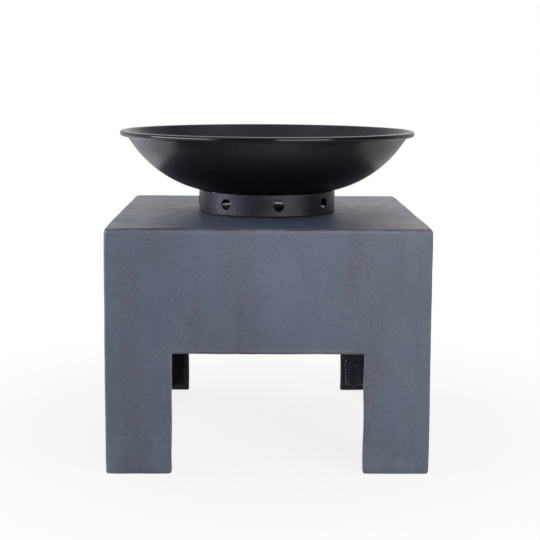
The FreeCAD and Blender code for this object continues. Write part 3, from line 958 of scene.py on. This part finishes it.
clay_points, clay_faces, clay_masks = console_skin()
make_piece(
    "clay_console", clay_points, clay_faces.tolist(), "console", clay, ["clay_shell"],
    clay_masks,
)

make_wall_mats(lining)
make_top_mat(lining)

bowl_points, bowl_faces = turned_piece(bowl_section(), BOWL_STEPS)
bowl_masks = bowl_finish_masks(bowl_points)
make_piece("fire_bowl", bowl_points, bowl_faces, "bowl", enamel, ["bowl_dish"], bowl_masks)

for node, material in (("stand_ring", coating), ("ring_seam_weld", coating), ("rim_wire", steel)):
    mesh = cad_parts[node].data
    mesh.materials.clear()
    mesh.materials.append(material)


# Floor, light and camera

# Headings are in radians from the front, counted to the right, and heights are those of a unit vector
WHITE = (1, 1, 1, 1)
WARM_LIGHT, COOL_LIGHT, COOL_FILL = (1.0, 0.975, 0.955, 1), (0.91, 0.90, 1.0, 1), (0.31, 0.335, 0.36, 1)
FLOOR_DIM, FLOOR_PALE = (0.88, 0.88, 0.88, 1), (0.92, 0.92, 0.92, 1)
FLOOR_EDGE, FLOOR_LINES = 6, 25
SHADOW_REACH = (0.2, 0.7)
COOL_SIDE, COOL_SOFT, COOL_ABOVE = (-2.5, -0.7), 0.3, (0.3, 0.6)
FLOOR_FIRST, FLOOR_STEPS = 1.0, (
    (-2.8, -2.4, 1.3), (-0.82, -0.62, 0.38), (0.04, 0.20, 0.68), (0.90, 1.10, 0.68), (2.6, 3.14, 1.0),
)
WALL_FIRST, WALL_STEPS = 1.26, (
    (-2.8, -2.4, 0.8), (-0.82, -0.62, 0.10), (0.90, 1.10, 0.08), (1.7, 2.3, 0.6), (2.5, 2.8, 1.52),
)
CEILING, CEILING_LEVEL = (0.55, 0.9), 0.9
LEFT_PANEL, RIGHT_PANEL, PANEL_SIDE_SOFT = (-1.7, -0.77), (0.16, 0.80), 0.06
PANEL_HEIGHT, PANEL_HEIGHT_SOFT, PANEL_LEVEL = (0.09, 0.29), 0.04, 15.0

LENS = 78.011
LENS_SHIFT = -0.12
CAMERA_AT = (-0.019471, -1.601692, 0.489279)
CAMERA_YAW, CAMERA_PITCH, CAMERA_ROLL = -0.014855, -0.109713, 0.005613


def compass(tree, place):
    """The angle of a place from the front, counted to the right."""
    return calc(tree, "ARCTAN2", place["X"], times(tree, place["Y"], -1.0))


def studio_level(tree, heading, first, steps):
    """How bright the studio is in reflections by heading: a first level, and smooth steps to further ones.

    Each step is the heading where it starts, the one where it ends and the level that it leads to.
    """
    level = first
    for start, end, following in steps:
        level = calc(tree, "ADD", level, remap(tree, heading, start, end, 0.0, following - first))
        first = following
    return level


def studio_tint(tree, heading, high):
    """Cool light from the left and from above, and slightly warm light from elsewhere."""
    cool = calc(tree, "MAXIMUM", window(tree, heading, *COOL_SIDE, COOL_SOFT), high)
    return blend(tree, cool, WARM_LIGHT, COOL_LIGHT)


def floor_material():
    """Pale floor with faint shadows near the object, whose reflections are dimmer in front and at right."""
    material = bpy.data.materials.new("pale_floor")
    material.use_nodes = True
    tree = material.node_tree
    tree.nodes.clear()
    at = add(tree, "ShaderNodeTexCoord").outputs["Object"]
    paint = blend(tree, noise(tree, at, 40.0, 2.0, 0.5), FLOOR_DIM, FLOOR_PALE)
    matte = add(tree, "ShaderNodeBsdfDiffuse", {"Color": paint})
    heading = compass(tree, axes(tree, at))
    level = studio_level(tree, heading, FLOOR_FIRST, FLOOR_STEPS)
    mirrored = blend(tree, 1.0, studio_tint(tree, heading, 0.0), level, "MULTIPLY")
    path = add(tree, "ShaderNodeLightPath").outputs
    light = blend(tree, path["Is Glossy Ray"], WHITE, mirrored)
    white = add(tree, "ShaderNodeEmission", {"Color": light, "Strength": 1.0})
    seen = calc(tree, "MAXIMUM", path["Is Camera Ray"], path["Is Glossy Ray"])
    seen = calc(tree, "MAXIMUM", seen, path["Is Transmission Ray"])
    fade = times(tree, remap(tree, length(tree, at), *SHADOW_REACH, 0.84, 1.0), seen)
    surface = add(tree, "ShaderNodeMixShader", {0: fade, 1: matte.outputs[0], 2: white.outputs[0]})
    add(tree, "ShaderNodeOutputMaterial", {"Surface": surface.outputs[0]})
    return material


def make_floor():
    """A level square grid under the object."""
    run = np.linspace(-FLOOR_EDGE, FLOOR_EDGE, FLOOR_LINES)
    y, x = np.meshgrid(run, run, indexing="ij")
    points = np.stack([x.ravel(), y.ravel(), np.zeros(x.size)], axis=1)
    mesh = bpy.data.meshes.new("floor")
    mesh.from_pydata(points.tolist(), [], grid_faces(FLOOR_LINES, FLOOR_LINES)[:, ::-1].tolist())
    mesh.materials.append(floor_material())
    floor = bpy.data.objects.new("floor", mesh)
    bpy.context.scene.collection.objects.link(floor)


def make_world():
    """White where it is seen, and a cool fill.

    Reflections see pale walls, a dim room in front, two panels and a ceiling.
    """
    world = bpy.data.worlds.new("studio")
    bpy.context.scene.world = world
    world.use_nodes = True
    tree = world.node_tree
    tree.nodes.clear()
    place = axes(tree, add(tree, "ShaderNodeTexCoord").outputs["Generated"])
    heading = compass(tree, place)
    walls = studio_level(tree, heading, WALL_FIRST, WALL_STEPS)
    level = calc(tree, "MAXIMUM", walls, remap(tree, place["Z"], *CEILING, 0.0, CEILING_LEVEL))
    left, right = (window(tree, heading, *panel, PANEL_SIDE_SOFT) for panel in (LEFT_PANEL, RIGHT_PANEL))
    panels = calc(tree, "ADD", left, right)
    panels = times(tree, panels, window(tree, place["Z"], *PANEL_HEIGHT, PANEL_HEIGHT_SOFT))
    level = raised(tree, level, panels, PANEL_LEVEL)
    high = remap(tree, place["Z"], *COOL_ABOVE)
    backdrop = blend(tree, 1.0, studio_tint(tree, heading, high), level, "MULTIPLY")
    path = add(tree, "ShaderNodeLightPath").outputs
    seen = calc(tree, "MAXIMUM", path["Is Camera Ray"], path["Is Transmission Ray"])
    light = blend(tree, path["Is Glossy Ray"], COOL_FILL, backdrop)
    light = blend(tree, seen, light, WHITE)
    sky = add(tree, "ShaderNodeBackground", {"Color": light, "Strength": 1.0})
    add(tree, "ShaderNodeOutputWorld", {"Surface": sky.outputs[0]})


def soft_box(name, position, target, width, height, power, mirrored):
    """A rectangular area light that faces a point, and that reflections show or not."""
    lamp = bpy.data.lights.new(name, "AREA")
    lamp.shape = "RECTANGLE"
    lamp.size = width
    lamp.size_y = height
    lamp.energy = power
    box = bpy.data.objects.new(name, lamp)
    toward = Vector(target) - Vector(position)
    box.matrix_world = Matrix.Translation(position) @ toward.to_track_quat("-Z", "Y").to_matrix().to_4x4()
    box.visible_glossy = mirrored
    bpy.context.scene.collection.objects.link(box)


def make_camera():
    """The photograph's viewpoint: a little above the slab, almost straight on to the front."""
    camera = bpy.data.cameras.new("camera")
    camera.sensor_width = 36.0
    camera.lens = LENS
    camera.shift_y = LENS_SHIFT
    camera.clip_start = 0.01
    view = bpy.data.objects.new("camera", camera)
    view.matrix_world = (
        Matrix.Translation(CAMERA_AT)
        @ Matrix.Rotation(CAMERA_YAW, 4, "Z")
        @ Matrix.Rotation(math.pi / 2 + CAMERA_PITCH, 4, "X")
        @ Matrix.Rotation(CAMERA_ROLL, 4, "Z")
    )
    bpy.context.scene.collection.objects.link(view)
    bpy.context.scene.camera = view


make_floor()
make_world()
soft_box("left_box", (-1.6, 0.25, 0.85), (0, 0.1, 0.35), width=2.4, height=1.7, power=17.2, mirrored=False)
soft_box(
    "right_front_box", (0.9, -1.25, 0.95), (0, -0.1, 0.2), width=1.5, height=1.5, power=15.5, mirrored=False
)
soft_box("top_box", (0, 0.7, 2.2), (0, 0, 0.3), width=2.0, height=2.0, power=7, mirrored=True)
make_camera()
bpy.context.scene.view_settings.view_transform = "Standard"
